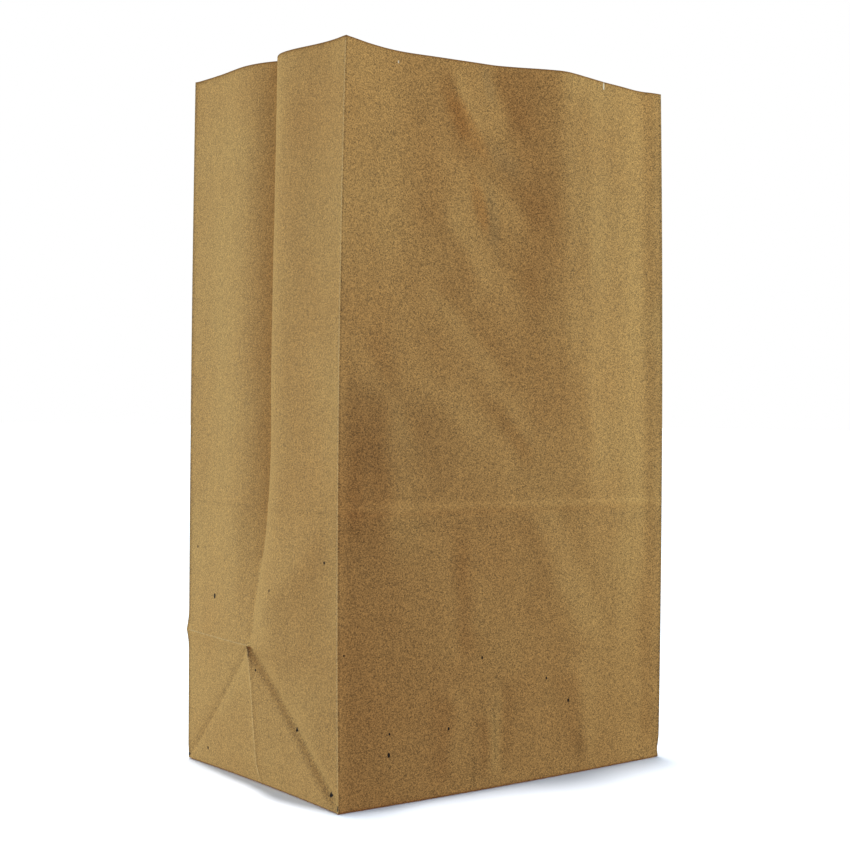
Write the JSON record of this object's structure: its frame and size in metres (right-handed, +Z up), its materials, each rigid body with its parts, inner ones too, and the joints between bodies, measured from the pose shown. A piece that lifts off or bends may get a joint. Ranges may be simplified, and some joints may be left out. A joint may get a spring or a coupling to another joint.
{
  "type": "paper grocery bag",
  "caption": "Flat-bottomed brown kraft paper sack with folded side gussets, standing open to carry groceries.",
  "frame": {"origin": "centre of the bottom, on the surface that the bag stands on", "axes": "+Z up out of the open mouth, +X along the wide front panel to its right, -Y out of the front panel, so the side gussets face -X and +X"},
  "size_m": [0.2764, 0.1814, 0.432],
  "materials": {
    "kraft_paper": "matt brown kraft paper with fine fibres, soft folds and sharp creases"
  },
  "bodies": {
    "root": {"paper_bag": "kraft_paper"}
  },
  "joints": []
}
